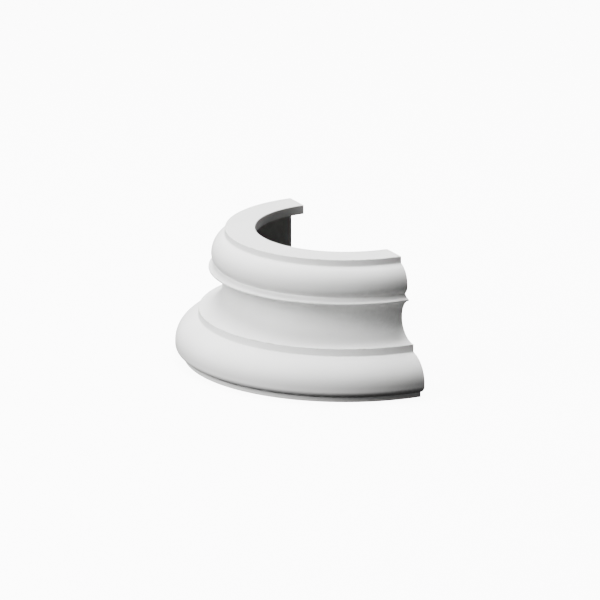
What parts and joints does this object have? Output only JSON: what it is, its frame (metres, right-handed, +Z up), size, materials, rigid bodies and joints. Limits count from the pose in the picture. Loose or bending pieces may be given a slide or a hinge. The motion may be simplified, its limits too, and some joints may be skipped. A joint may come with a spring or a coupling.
{
  "type": "half column base",
  "caption": "Half-round column base with torus rolls, a scotia and a thin lip, hollow behind, made to stand against a wall under a half shaft.",
  "frame": {"origin": "middle of the footprint's bounding box, on the underside", "axes": "+X along the wall, to the right when looking at the front; +Y towards the wall, with the end faces at the +Y side; +Z up along the column"},
  "size_m": [0.35, 0.175, 0.1368],
  "materials": {
    "white_primer": "smooth factory white primer on moulded rigid polyurethane, matt"
  },
  "bodies": {
    "root": {"half_column_base": "white_primer"}
  },
  "joints": []
}
